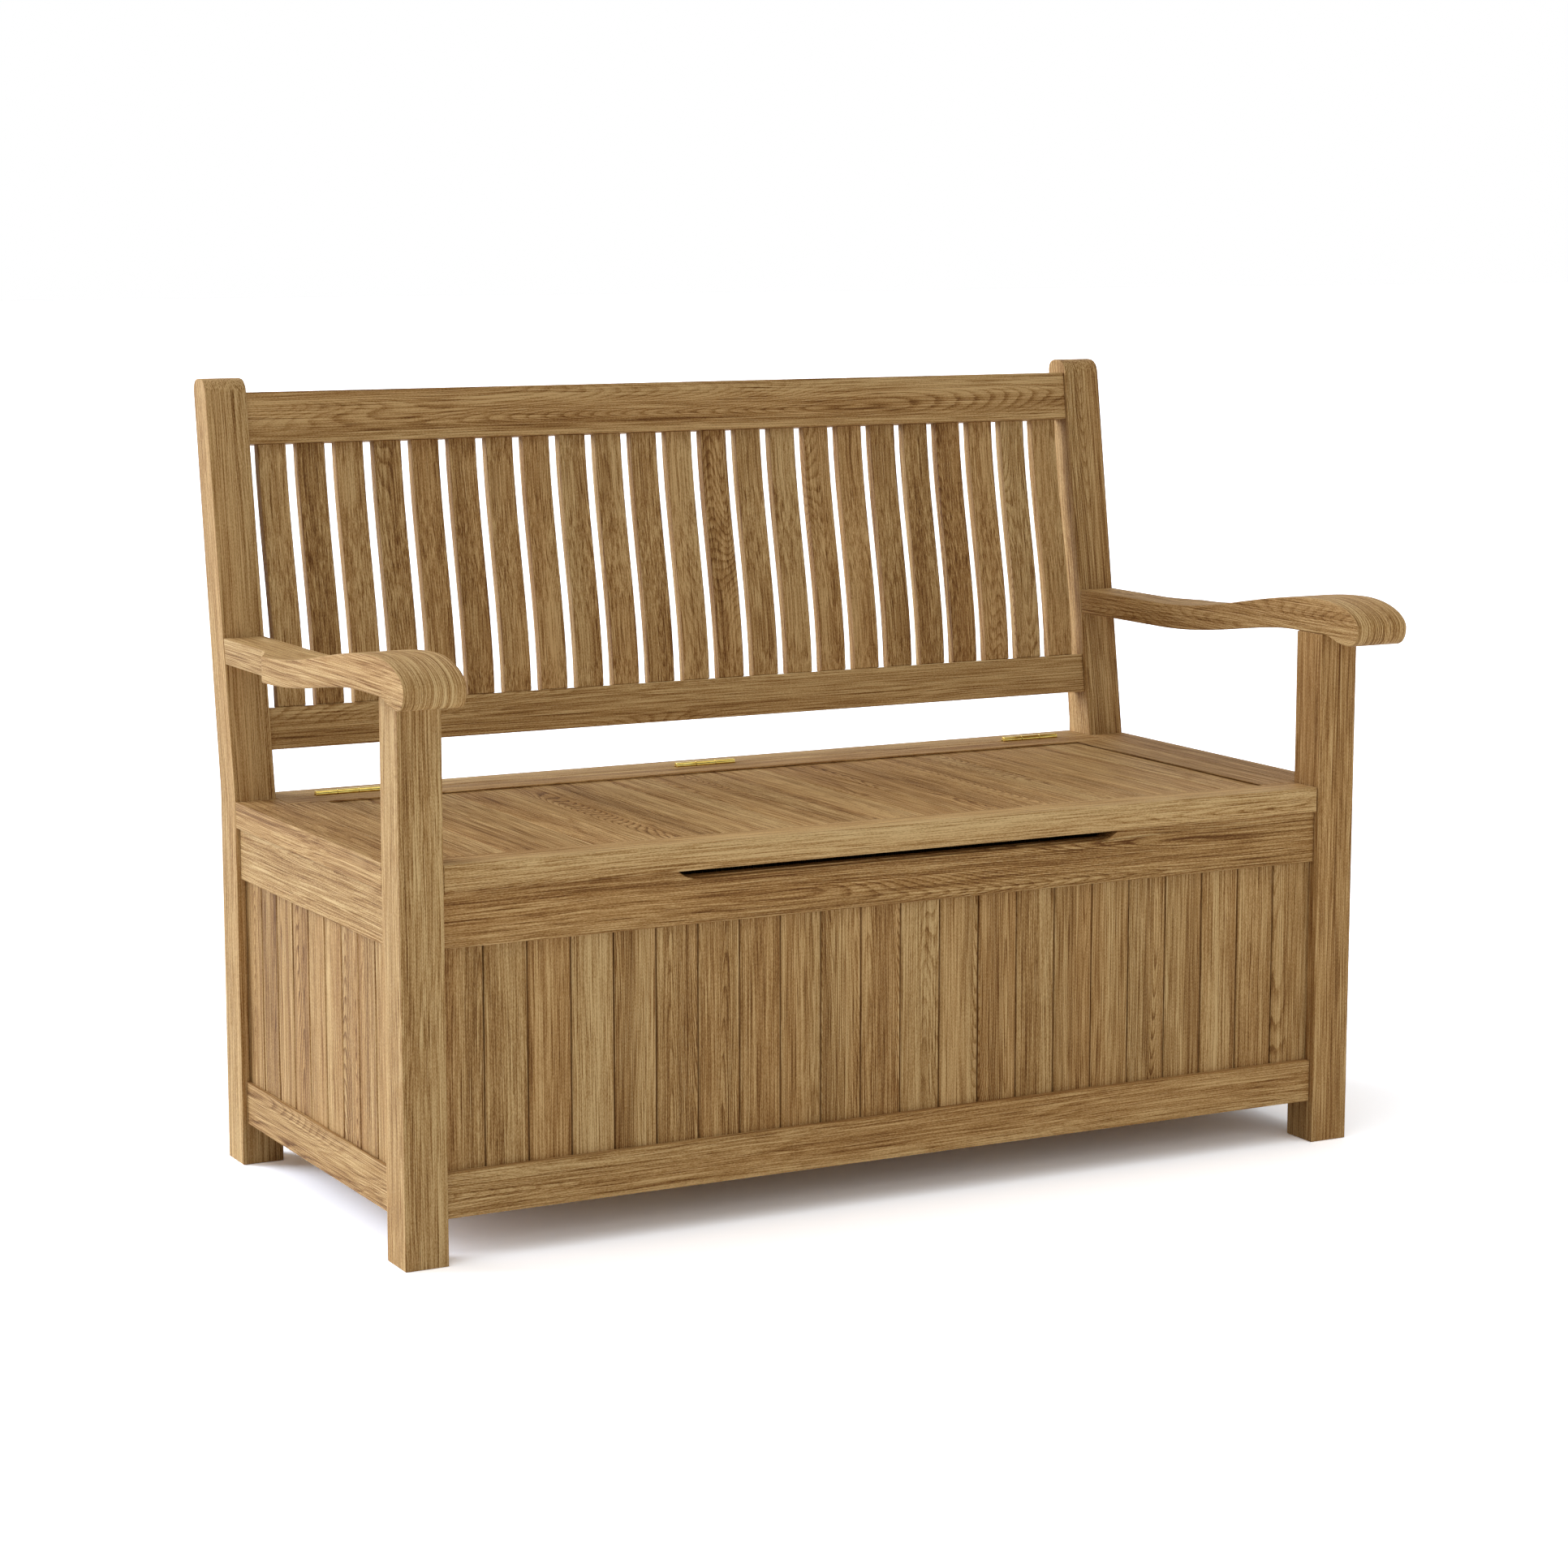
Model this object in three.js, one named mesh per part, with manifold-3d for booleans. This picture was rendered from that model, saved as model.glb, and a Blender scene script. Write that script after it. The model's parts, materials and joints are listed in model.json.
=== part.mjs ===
// A garden storage bench in solid teak: a mortised frame with a slatted, leaning back and
// scrolled armrests, tongue-and-groove boarded sides, and a seat that is the hinged lid of
// the box below it. Millimetres, +Z up, +X to the bench's right-hand end as seen from the
// front, front of the bench towards -Y.
//
// Every piece is drawn where it stands, measured from the front legs' front faces (Y = 0),
// the floor (Z = 0) and the bench's middle (X = 0). Three nested groups hold them: the fixed
// frame, the leaning back and the lid, whose origin is the hinge line.
import * as THREE from 'three';
import { mergeVertices } from 'three/addons/utils/BufferGeometryUtils.js';
import Module from 'manifold-3d';

const wasm = await Module();
wasm.setup();

// ---- Driving dimensions -------------------------------------------------------------

const WIDTH = 1220; // over the legs' outer faces
const DEPTH = 551; // front legs' front face to rear posts' back face, at the floor
const SEAT_HEIGHT = 432;
const BACK_RISE = 483; // seat to the top of the rear posts
const LEAN = THREE.MathUtils.degToRad(8.5); // of the back, from the seat upwards

const LEG = 50; // square section of the front legs, and of the rear posts below the seat
const POST_TOP = 41; // thickness of the rear posts at their top, front to back
const POST_ROUND = 18; // rounding of the rear posts' top corners

const APRON_HEIGHT = 60;
const RAIL_HEIGHT = 50;
const RAIL_CLEARANCE = 50; // floor to the underside of the bottom rails
const RAIL_THICKNESS = 25; // of the aprons and the bottom rails
const APRON_SETBACK = 8; // front and rear aprons, behind the legs' faces
const RAIL_SETBACK = 6; // all bottom rails, behind the legs' faces
const SIDE_APRON_SETBACK = 4.5;

const PANEL_THICKNESS = 12;
const PANEL_SETBACK = 17; // front and rear panels, behind the legs' faces
const SIDE_PANEL_SETBACK = 11;
const GROOVE = 6; // how far a panel's edge enters the frame round it
const FRONT_BOARDS = 22;
const SIDE_BOARDS = 9;
const VEE = 4; // width of the V-groove between two boards

const LID_THICKNESS = 30;
const LID_MEMBER = 46; // width of the lid's rails and stiles
const LID_SETBACK = 2; // lid's front edge, behind the front legs' front faces
const LID_SIDE_GAP = 1; // between the lid and the parts beside it
const LID_REST_GAP = 0.5; // between the closed lid and the aprons under it
const LID_PANEL_THICKNESS = 15;
const LID_PANEL_DROP = 2.5; // of the boards below the lid's frame
const LID_BOARDS = 20;
const LID_VEE = 1.5;
const REAR_STRIP = 46; // depth of the fixed strip behind the lid
const HINGE_GAP = 1; // between the lid and the rear strip

const SCOOP_LENGTH = 566; // finger scoop in the front apron's top edge
const SCOOP_DEPTH = 10;
const SCOOP_RUNOUT = 24; // length of the scoop's sloping ends

const FLOOR_THICKNESS = 12;
const CLEAT = 20; // square section of the battens that carry the floor

const BACK_RAIL_SETBACK = 4.5; // behind the posts' front faces
const BACK_RAIL_THICKNESS = 28;
const TOP_RAIL_HEIGHT = 60;
const TOP_RAIL_RISE = 413; // seat to the top rail's underside, along the lean
const LOWER_RAIL_HEIGHT = 49;
const LOWER_RAIL_RISE = 57;

const SLATS = 23;
const SLAT_WIDTH = 34.5;
const SLAT_THICKNESS = 14;
const SLAT_FOOT_DEPTH = 8.4; // slat's face behind the posts' faces, at the lower rail
const SLAT_HEAD_DEPTH = 12.5; // the same at the top rail
const SLAT_WAIST_DEPTH = -1.6; // control depths of the curve between them: forward at the
const SLAT_SHOULDER_DEPTH = 19.7; // lumbar, hollow at the shoulders

const ARM_RISE = 182.5; // seat to the front legs' shoulders, which carry the arms
const ARM_CREST = 41; // of an arm's top above those shoulders, over the front leg
const ARM_REAR_TOP = 5; // the same at the rear post
const ARM_NOSE = 11; // the same at the nose's foremost point
const ARM_SCROLL = 9.5; // of the nose's lowest point, below the shoulders
const ARM_SCROLL_REACH = 50; // of that point, in front of the legs
const ARM_REACH = 69; // of the scrolled nose, in front of the legs
const ARM_THICKNESS = 30; // at the rear post
const ARM_WIDTH = 70; // from the legs' inner faces outwards
const ARM_FLARE = 57; // length over which an arm widens from the post's width to its own
const ARM_FLARE_END = 97; // where it starts to, in front of the rear post
const ARM_LEVEL_END = 156; // where an arm's rear stops being level, in front of the rear post

const TENON = 22; // length of the tenons of the sides, the back and the lid
const TENON_WALL = 3; // wood between the front and side tenons inside a leg
const TENON_SHOULDER = 6; // thickness left on each side of a rail's tenon
const TENON_HAUNCH = 8; // the same above and below it
const ARM_TENON = [30, 16]; // section of the tenons into and under an arm
const SLAT_TENON = 15; // length
const SLAT_TENON_THICKNESS = 8;

const HINGES = 3;
const HINGE_LENGTH = 80;
const HINGE_INSET = 89; // of the end hinges' middles from the lid's ends
const KNUCKLE_RADIUS = 4;
const KNUCKLE_RISE = 1.2; // of the hinge pins' line above the seat
const PIN_RADIUS = 1.9;
const LEAF_THICKNESS = 2;
const LEAF_HEIGHT = 25;
const LEAF_GAP = 0.4; // between the two closed leaves

const SEAM = 0.2; // between two pieces that meet face to face
const FIT = 0.3; // round a tenon, tongue or leaf in its mortise, groove or recess
const RUNNING = 0.6; // round a knuckle that turns beside wood or another leaf
const PIN_FIT = 0.08; // round a pin in the knuckle that turns on it
const CURVE_STEPS = 9; // straight steps along each long curve of an arm or a slat

// ---- Sizes worked out from them -------------------------------------------------------

const outer = WIDTH / 2; // legs' outer faces
const inner = outer - LEG; // legs' inner faces
const postFront = DEPTH - LEG;
const seatUnderside = SEAT_HEIGHT - LID_THICKNESS;
const apronTop = seatUnderside - LID_REST_GAP;
const apronFoot = apronTop - APRON_HEIGHT;
const railTop = RAIL_CLEARANCE + RAIL_HEIGHT;
const hingeY = DEPTH - REAR_STRIP;
const hingeZ = SEAT_HEIGHT + KNUCKLE_RISE;
const lidSide = inner - LID_SIDE_GAP;
const lidPanelTop = SEAT_HEIGHT - LID_PANEL_DROP;
const postTop = SEAT_HEIGHT + BACK_RISE;
const topOfPostY = postFront + BACK_RISE * Math.tan(LEAN);
const armRest = SEAT_HEIGHT + ARM_RISE;
const armRearTop = armRest + ARM_REAR_TOP;
const armRearUnderside = armRearTop - ARM_THICKNESS;

// ---- Materials --------------------------------------------------------------------------

const teak = new THREE.MeshStandardMaterial({ color: 0xa47c4c, roughness: 0.6, flatShading: true });
const teakPanel = new THREE.MeshStandardMaterial({ color: 0x98713f, roughness: 0.65, flatShading: true });
const brass = new THREE.MeshStandardMaterial({ color: 0xd9b04a, roughness: 0.25, metalness: 1 });

// ---- Solids -------------------------------------------------------------------------------

// A closed three.js geometry as a solid that can be joined and cut.
function solidOf(geometry) {
  const bare = geometry.clone();
  bare.deleteAttribute('normal');
  bare.deleteAttribute('uv');
  const merged = mergeVertices(bare, 1e-4);
  return new wasm.Manifold(new wasm.Mesh({
    numProp: 3,
    vertProperties: Float32Array.from(merged.attributes.position.array),
    triVerts: Uint32Array.from(merged.index.array),
  }));
}

// A box given by its [low, high] span along each axis.
const box = (x, y, z) => ({ x, y, z });

const grow = (b, gap) => box(
  [b.x[0] - gap, b.x[1] + gap],
  [b.y[0] - gap, b.y[1] + gap],
  [b.z[0] - gap, b.z[1] + gap],
);

function boxGeometry({ x, y, z }) {
  const geometry = new THREE.BoxGeometry(x[1] - x[0], y[1] - y[0], z[1] - z[0]);
  geometry.translate((x[0] + x[1]) / 2, (y[0] + y[1]) / 2, (z[0] + z[1]) / 2);
  return geometry;
}

const block = (b) => solidOf(boxGeometry(b));
const pocket = (b) => block(grow(b, FIT));

// A span of X on one end of the bench, from a to b outwards. side is -1 (left) or 1 (right).
const sideSpan = (side, a, b) => (side > 0 ? [a, b] : [-b, -a]);

// A prism: an outline drawn across the named axis, extruded along it from low to high.
const PRISM_AXES = {
  x: new THREE.Matrix4().set(0, 0, 1, 0, 1, 0, 0, 0, 0, 1, 0, 0, 0, 0, 0, 1), // (Y, Z) outline
  y: new THREE.Matrix4().set(1, 0, 0, 0, 0, 0, -1, 0, 0, 1, 0, 0, 0, 0, 0, 1), // (X, Z) outline
  z: new THREE.Matrix4(), // (X, Y) outline
};

function prism(axis, shape, [low, high], curveSegments = 6) {
  const geometry = new THREE.ExtrudeGeometry(shape, {
    depth: high - low, bevelEnabled: false, curveSegments,
  });
  geometry.translate(0, 0, axis === 'y' ? -high : low);
  geometry.applyMatrix4(PRISM_AXES[axis]);
  return solidOf(geometry);
}

function rod(radius, [low, high], y, z, sides = 20) {
  const geometry = new THREE.CylinderGeometry(radius, radius, high - low, sides);
  geometry.rotateZ(Math.PI / 2);
  geometry.translate((low + high) / 2, y, z);
  return solidOf(geometry);
}

// Moves a sketch of corner points into a shape.
function polygon(points) {
  return new THREE.Shape(points.map(([u, v]) => new THREE.Vector2(u, v)));
}

const join = (first, ...others) => others.reduce((sum, next) => sum.add(next), first);
const cut = (first, ...others) => others.reduce((rest, next) => rest.subtract(next), first);

// ---- The scene graph ------------------------------------------------------------------------

const bench = new THREE.Group();
const fixedFrame = new THREE.Group();
const leaningBack = new THREE.Group();
const lid = new THREE.Group();
leaningBack.position.set(0, postFront, SEAT_HEIGHT);
leaningBack.rotation.x = -LEAN;
leaningBack.updateMatrix();
lid.position.set(0, hingeY, hingeZ);
bench.add(fixedFrame, leaningBack, lid);

// Adds a solid to a group as a named mesh standing at the solid's own middle. Solids of the
// lid are drawn in the bench's frame, so the group's origin is taken off first.
function addPiece(group, name, solid, material) {
  const { vertProperties, triVerts } = solid.getMesh();
  const geometry = new THREE.BufferGeometry();
  geometry.setAttribute('position', new THREE.BufferAttribute(vertProperties, 3));
  geometry.setIndex(new THREE.BufferAttribute(triVerts, 1));
  geometry.computeBoundingBox();
  const middle = geometry.boundingBox.getCenter(new THREE.Vector3());
  geometry.translate(-middle.x, -middle.y, -middle.z);
  geometry.computeVertexNormals();
  const mesh = new THREE.Mesh(geometry, material);
  mesh.name = name;
  mesh.position.copy(middle);
  if (group === lid) mesh.position.sub(lid.position);
  group.add(mesh);
}

// ---- Rails with tenons -----------------------------------------------------------------------

// A rail and the tenons on its two ends, along X (front, rear and back) or Y (sides). In the
// legs, the tenons along X stop short of those along Y.
const crossTenonEnd = outer - RAIL_SETBACK - RAIL_THICKNESS + TENON_SHOULDER - TENON_WALL;

function crossRail(y, z) {
  return {
    body: box([-inner + SEAM, inner - SEAM], y, z),
    tenons: box(
      [-crossTenonEnd, crossTenonEnd],
      [y[0] + TENON_SHOULDER, y[1] - TENON_SHOULDER],
      [z[0] + TENON_HAUNCH, z[1] - TENON_HAUNCH],
    ),
  };
}

function sideRail(x, z) {
  return {
    body: box(x, [LEG + SEAM, postFront - SEAM], z),
    tenons: box(
      [x[0] + TENON_SHOULDER, x[1] - TENON_SHOULDER],
      [LEG - TENON, postFront + TENON],
      [z[0] + TENON_HAUNCH, z[1] - TENON_HAUNCH],
    ),
  };
}

const railSolid = (rail) => join(block(rail.body), block(rail.tenons));

const apronZ = [apronFoot, apronTop];
const bottomZ = [RAIL_CLEARANCE, railTop];
const fromFront = (setback, thickness) => [setback, setback + thickness];
const fromBack = (setback, thickness) => [DEPTH - setback - thickness, DEPTH - setback];
const fromSide = (side, setback, thickness) => sideSpan(side, outer - setback - thickness, outer - setback);

const frontApron = crossRail(fromFront(APRON_SETBACK, RAIL_THICKNESS), apronZ);
const rearApron = crossRail(fromBack(APRON_SETBACK, RAIL_THICKNESS), apronZ);
const frontRail = crossRail(fromFront(RAIL_SETBACK, RAIL_THICKNESS), bottomZ);
const rearRail = crossRail(fromBack(RAIL_SETBACK, RAIL_THICKNESS), bottomZ);
const sideAprons = new Map();
const sideRails = new Map();
const sidePanels = new Map();
const panelZ = [railTop - GROOVE, apronFoot + GROOVE];
for (const side of [-1, 1]) {
  sideAprons.set(side, sideRail(fromSide(side, SIDE_APRON_SETBACK, RAIL_THICKNESS), apronZ));
  sideRails.set(side, sideRail(fromSide(side, RAIL_SETBACK, RAIL_THICKNESS), bottomZ));
  sidePanels.set(side, box(
    fromSide(side, SIDE_PANEL_SETBACK, PANEL_THICKNESS),
    [LEG - GROOVE, postFront + GROOVE],
    panelZ,
  ));
}

// ---- Boarded panels ----------------------------------------------------------------------------

// The plan of a boarded panel: a plate from -half to half whose outer face (at `face`, with
// the plate's back at `back`) is scored by a V-groove between each two boards. Boards are
// shared out over the visible length, which is shorter than the plate by a groove's depth.
function boardedPlan(half, face, back, boards, vee) {
  const visible = half - GROOVE;
  const pitch = (2 * visible) / boards;
  const veeDepth = Math.sign(back - face) * (vee / 2);
  const points = [[half, back], [-half, back], [-half, face]];
  for (let joint = 1; joint < boards; joint += 1) {
    const u = -visible + joint * pitch;
    points.push([u - vee / 2, face], [u, face + veeDepth], [u + vee / 2, face]);
  }
  points.push([half, face]);
  return points;
}

const frontPanel = box([-inner - GROOVE, inner + GROOVE], fromFront(PANEL_SETBACK, PANEL_THICKNESS), panelZ);
const rearPanel = box([-inner - GROOVE, inner + GROOVE], fromBack(PANEL_SETBACK, PANEL_THICKNESS), panelZ);

addPiece(fixedFrame, 'front_panel', prism('z', polygon(boardedPlan(
  frontPanel.x[1], frontPanel.y[0], frontPanel.y[1], FRONT_BOARDS, VEE,
)), panelZ), teakPanel);
addPiece(fixedFrame, 'rear_panel', prism('z', polygon(boardedPlan(
  rearPanel.x[1], rearPanel.y[1], rearPanel.y[0], FRONT_BOARDS, VEE,
)), panelZ), teakPanel);

// ---- Armrests ------------------------------------------------------------------------------------

// Seen from the side: level at the post, sweeping up to a crest over the front leg, round the
// scrolled nose and back along the underside. Heights are drawn from the legs' shoulders.
function armProfile() {
  const rear = postFront + LEG; // ends inside the post, and is cut to its face below
  const levelEnd = postFront - ARM_LEVEL_END;
  const rearBottom = ARM_REAR_TOP - ARM_THICKNESS;
  const noseTop = ARM_CREST - 13.5; // control heights of the nose's roundings
  const noseFoot = ARM_NOSE - 10;
  const sweep = levelEnd - LEG; // from the leg's back to the end of the level part
  const profile = new THREE.Path();
  profile.moveTo(rear, rearBottom);
  profile.lineTo(rear, ARM_REAR_TOP);
  profile.lineTo(levelEnd, ARM_REAR_TOP);
  profile.bezierCurveTo(
    levelEnd - 0.44 * sweep, ARM_REAR_TOP, LEG + 0.24 * sweep, ARM_CREST, 8, ARM_CREST,
  );
  profile.bezierCurveTo(-32, ARM_CREST, -ARM_REACH, noseTop, -ARM_REACH, ARM_NOSE);
  profile.bezierCurveTo(-ARM_REACH, noseFoot, -64, -ARM_SCROLL, -ARM_SCROLL_REACH, -ARM_SCROLL);
  profile.bezierCurveTo(-24, -ARM_SCROLL, -14, 0, -1, 0);
  profile.lineTo(LEG + 8, 0);
  profile.bezierCurveTo(
    LEG + 0.29 * sweep, 0, levelEnd - 0.41 * sweep, rearBottom, levelEnd, rearBottom,
  );
  return polygon(profile.getPoints(CURVE_STEPS).map(({ x, y }) => [x, armRest + y]));
}

// Seen from above: straight inside, and outside as wide as the post until it flares.
function armPlan(side) {
  const flareEnd = postFront - ARM_FLARE_END;
  const flareStart = flareEnd - ARM_FLARE;
  const wide = inner + ARM_WIDTH;
  const shape = new THREE.Shape();
  shape.moveTo(side * inner, -2 * ARM_REACH);
  shape.lineTo(side * wide, -2 * ARM_REACH);
  shape.lineTo(side * wide, flareStart);
  shape.bezierCurveTo(
    side * (wide - 8), flareStart + 16, side * outer, flareEnd - 18, side * outer, flareEnd,
  );
  shape.lineTo(side * outer, DEPTH);
  shape.lineTo(side * inner, DEPTH);
  shape.closePath();
  return shape;
}

const legMiddle = inner + LEG / 2;
const armMiddleZ = armRearTop - ARM_THICKNESS / 2;
const armFaceY = postFront + (armMiddleZ - SEAT_HEIGHT) * Math.tan(LEAN);

// The tenon on top of a front leg, and the one on an arm's rear end.
const legTenon = (side) => box(
  sideSpan(side, legMiddle - ARM_TENON[0] / 2, legMiddle + ARM_TENON[0] / 2),
  [LEG / 2 - ARM_TENON[0] / 2, LEG / 2 + ARM_TENON[0] / 2],
  [armRest - 2 * SEAM, armRest + TENON],
);
const armTenon = (side) => box(
  sideSpan(side, legMiddle - ARM_TENON[0] / 2, legMiddle + ARM_TENON[0] / 2),
  [armFaceY - TENON / 2, armFaceY + TENON],
  [armMiddleZ - ARM_TENON[1] / 2, armMiddleZ + ARM_TENON[1] / 2],
);

// ---- Rear posts --------------------------------------------------------------------------------

// Seen from the side: upright to the seat, then leaning and tapering to a rounded top.
// gap swells the outline's front, to cut the arm to it.
function postProfile(gap = 0) {
  const shape = new THREE.Shape();
  const top = postTop;
  const backTopY = topOfPostY + POST_TOP / Math.cos(LEAN);
  const slope = Math.tan(LEAN);
  shape.moveTo(postFront - gap, 0);
  shape.lineTo(postFront - gap, SEAT_HEIGHT);
  shape.lineTo(topOfPostY - gap - POST_ROUND * slope, top - POST_ROUND);
  shape.quadraticCurveTo(topOfPostY - gap, top, topOfPostY - gap + POST_ROUND, top);
  shape.lineTo(backTopY - POST_ROUND, top);
  shape.quadraticCurveTo(backTopY, top, backTopY - POST_ROUND * slope, top - POST_ROUND);
  shape.lineTo(DEPTH, SEAT_HEIGHT + LEG * slope);
  shape.lineTo(DEPTH, 0);
  shape.closePath();
  return shape;
}

// ---- The leaning back ---------------------------------------------------------------------------

// Drawn in the back's own frame: Y behind the posts' front faces, Z up the lean.
const backRailDepth = [BACK_RAIL_SETBACK, BACK_RAIL_SETBACK + BACK_RAIL_THICKNESS];
const topRail = crossRail(backRailDepth, [TOP_RAIL_RISE, TOP_RAIL_RISE + TOP_RAIL_HEIGHT]);
const lowerRail = crossRail(backRailDepth, [LOWER_RAIL_RISE, LOWER_RAIL_RISE + LOWER_RAIL_HEIGHT]);
const slatFoot = LOWER_RAIL_RISE + LOWER_RAIL_HEIGHT;
const slatGap = (2 * inner - SLATS * SLAT_WIDTH) / (SLATS + 1);
const slatPitch = SLAT_WIDTH + slatGap;
const slatSpans = Array.from({ length: SLATS }, (_, i) => {
  const start = -inner + slatGap + i * slatPitch;
  return [start, start + SLAT_WIDTH];
});

// The depth span of a slat's tenon, whose face lies this deep at the rail.
function slatTenonDepth(faceDepth) {
  const shoulder = (SLAT_THICKNESS - SLAT_TENON_THICKNESS) / 2;
  return [faceDepth + shoulder, faceDepth + shoulder + SLAT_TENON_THICKNESS];
}

// Seen from the side: a bow forward at the lumbar and a hollow at the shoulders, with a
// tenon as wide as the slat on each end.
function slatProfile() {
  const low = slatFoot + SEAM;
  const high = TOP_RAIL_RISE - SEAM;
  const third = (high - low) / 3;
  const [footFront, footBack] = slatTenonDepth(SLAT_FOOT_DEPTH);
  const [headFront, headBack] = slatTenonDepth(SLAT_HEAD_DEPTH);
  const shape = new THREE.Shape();
  shape.moveTo(SLAT_FOOT_DEPTH, low);
  shape.bezierCurveTo(
    SLAT_WAIST_DEPTH, low + third, SLAT_SHOULDER_DEPTH, high - third, SLAT_HEAD_DEPTH, high,
  );
  shape.lineTo(headFront, high);
  shape.lineTo(headFront, high + SLAT_TENON);
  shape.lineTo(headBack, high + SLAT_TENON);
  shape.lineTo(headBack, high);
  shape.lineTo(SLAT_HEAD_DEPTH + SLAT_THICKNESS, high);
  shape.bezierCurveTo(
    SLAT_SHOULDER_DEPTH + SLAT_THICKNESS, high - third,
    SLAT_WAIST_DEPTH + SLAT_THICKNESS, low + third,
    SLAT_FOOT_DEPTH + SLAT_THICKNESS, low,
  );
  shape.lineTo(footBack, low);
  shape.lineTo(footBack, low - SLAT_TENON);
  shape.lineTo(footFront, low - SLAT_TENON);
  shape.lineTo(footFront, low);
  shape.closePath();
  return shape;
}

const slatMortise = (x, faceDepth, z) => pocket(box(x, slatTenonDepth(faceDepth), z));

addPiece(leaningBack, 'top_back_rail', cut(railSolid(topRail), ...slatSpans.map(
  (x) => slatMortise(x, SLAT_HEAD_DEPTH, [TOP_RAIL_RISE - 1, TOP_RAIL_RISE + SLAT_TENON]),
)), teak);
addPiece(leaningBack, 'lower_back_rail', cut(railSolid(lowerRail), ...slatSpans.map(
  (x) => slatMortise(x, SLAT_FOOT_DEPTH, [slatFoot - SLAT_TENON, slatFoot + 1]),
)), teak);
slatSpans.forEach((x, i) => {
  const name = `back_slat_${String(i + 1).padStart(2, '0')}`;
  addPiece(leaningBack, name, prism('x', slatProfile(), x, CURVE_STEPS), teak);
});

// A box of the leaning back's frame as a pocket in the bench's frame.
function leaningPocket(b) {
  const geometry = boxGeometry(grow(b, FIT));
  geometry.applyMatrix4(leaningBack.matrix);
  return solidOf(geometry);
}

// ---- Legs, posts, arms and the pieces of each end ------------------------------------------------

for (const side of [-1, 1]) {
  const end = side < 0 ? 'left' : 'right';
  const apron = sideAprons.get(side);
  const rail = sideRails.get(side);
  const panel = sidePanels.get(side);
  const legX = sideSpan(side, inner, outer);
  const endMortises = [pocket(apron.tenons), pocket(rail.tenons), pocket(panel)];

  addPiece(fixedFrame, `front_${end}_leg`, cut(
    join(block(box(legX, [0, LEG], [0, armRest - SEAM])), block(legTenon(side))),
    pocket(frontApron.tenons),
    pocket(frontRail.tenons),
    pocket(frontPanel),
    ...endMortises,
  ), teak);

  addPiece(fixedFrame, `rear_${end}_post`, cut(
    prism('x', postProfile(), legX),
    pocket(rearApron.tenons),
    pocket(rearRail.tenons),
    pocket(rearPanel),
    pocket(armTenon(side)),
    leaningPocket(topRail.tenons),
    leaningPocket(lowerRail.tenons),
    ...endMortises,
  ), teak);

  const armX = sideSpan(side, inner, inner + ARM_WIDTH);
  const armBlank = prism('x', armProfile(), armX)
    .intersect(prism('z', armPlan(side), [armRearUnderside - 1, armRest + ARM_CREST + 1]))
    .subtract(prism('x', postProfile(SEAM), sideSpan(side, inner - 1, inner + ARM_WIDTH + 1)));
  addPiece(fixedFrame, `${end}_armrest`, cut(
    join(armBlank, block(armTenon(side))),
    pocket(legTenon(side)),
  ), teak);

  addPiece(fixedFrame, `${end}_side_apron`, cut(railSolid(apron), pocket(panel)), teak);
  addPiece(fixedFrame, `${end}_bottom_rail`, cut(railSolid(rail), pocket(panel)), teak);

  const faceX = side * (outer - SIDE_PANEL_SETBACK);
  const backX = faceX - side * PANEL_THICKNESS;
  const halfLength = (panel.y[1] - panel.y[0]) / 2;
  const middleY = (panel.y[0] + panel.y[1]) / 2;
  const plan = boardedPlan(halfLength, faceX, backX, SIDE_BOARDS, VEE)
    .map(([along, across]) => [across, middleY + along]);
  addPiece(fixedFrame, `${end}_side_panel`, prism('z', polygon(plan), panelZ), teakPanel);

  // The fixed strip of the seat outside the lid, between the leg and the post.
  addPiece(fixedFrame, `${end}_seat_strip`, block(box(
    sideSpan(side, inner + SEAM, outer),
    [LEG + SEAM, postFront - SEAM],
    [apronTop + SEAM, SEAT_HEIGHT],
  )), teak);
}

// ---- Front and rear of the box ---------------------------------------------------------------------

function scoopedApron() {
  const half = inner - SEAM;
  const edge = SCOOP_LENGTH / 2;
  const shape = polygon([[-half, apronFoot], [half, apronFoot], [half, apronTop], [edge, apronTop]]);
  const floor = apronTop - SCOOP_DEPTH;
  const bend = edge - SCOOP_RUNOUT / 2;
  shape.quadraticCurveTo(bend, floor, edge - SCOOP_RUNOUT, floor);
  shape.lineTo(SCOOP_RUNOUT - edge, floor);
  shape.quadraticCurveTo(-bend, floor, -edge, apronTop);
  shape.lineTo(-half, apronTop);
  shape.closePath();
  return shape;
}

addPiece(fixedFrame, 'front_apron', cut(
  join(prism('y', scoopedApron(), frontApron.body.y), block(frontApron.tenons)),
  pocket(frontPanel),
), teak);
addPiece(fixedFrame, 'front_bottom_rail', cut(railSolid(frontRail), pocket(frontPanel)), teak);
addPiece(fixedFrame, 'rear_apron', cut(railSolid(rearApron), pocket(rearPanel)), teak);
addPiece(fixedFrame, 'rear_bottom_rail', cut(railSolid(rearRail), pocket(rearPanel)), teak);

// ---- Floor of the box ---------------------------------------------------------------------------------

const floorUnderside = RAIL_CLEARANCE + CLEAT + SEAM;
const cleatX = [-inner + FIT, inner - FIT];
const cleatZ = [RAIL_CLEARANCE, RAIL_CLEARANCE + CLEAT];
addPiece(fixedFrame, 'front_floor_cleat', block(box(
  cleatX, [frontRail.body.y[1] + SEAM, frontRail.body.y[1] + CLEAT], cleatZ,
)), teak);
addPiece(fixedFrame, 'rear_floor_cleat', block(box(
  cleatX, [rearRail.body.y[0] - CLEAT, rearRail.body.y[0] - SEAM], cleatZ,
)), teak);

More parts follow.
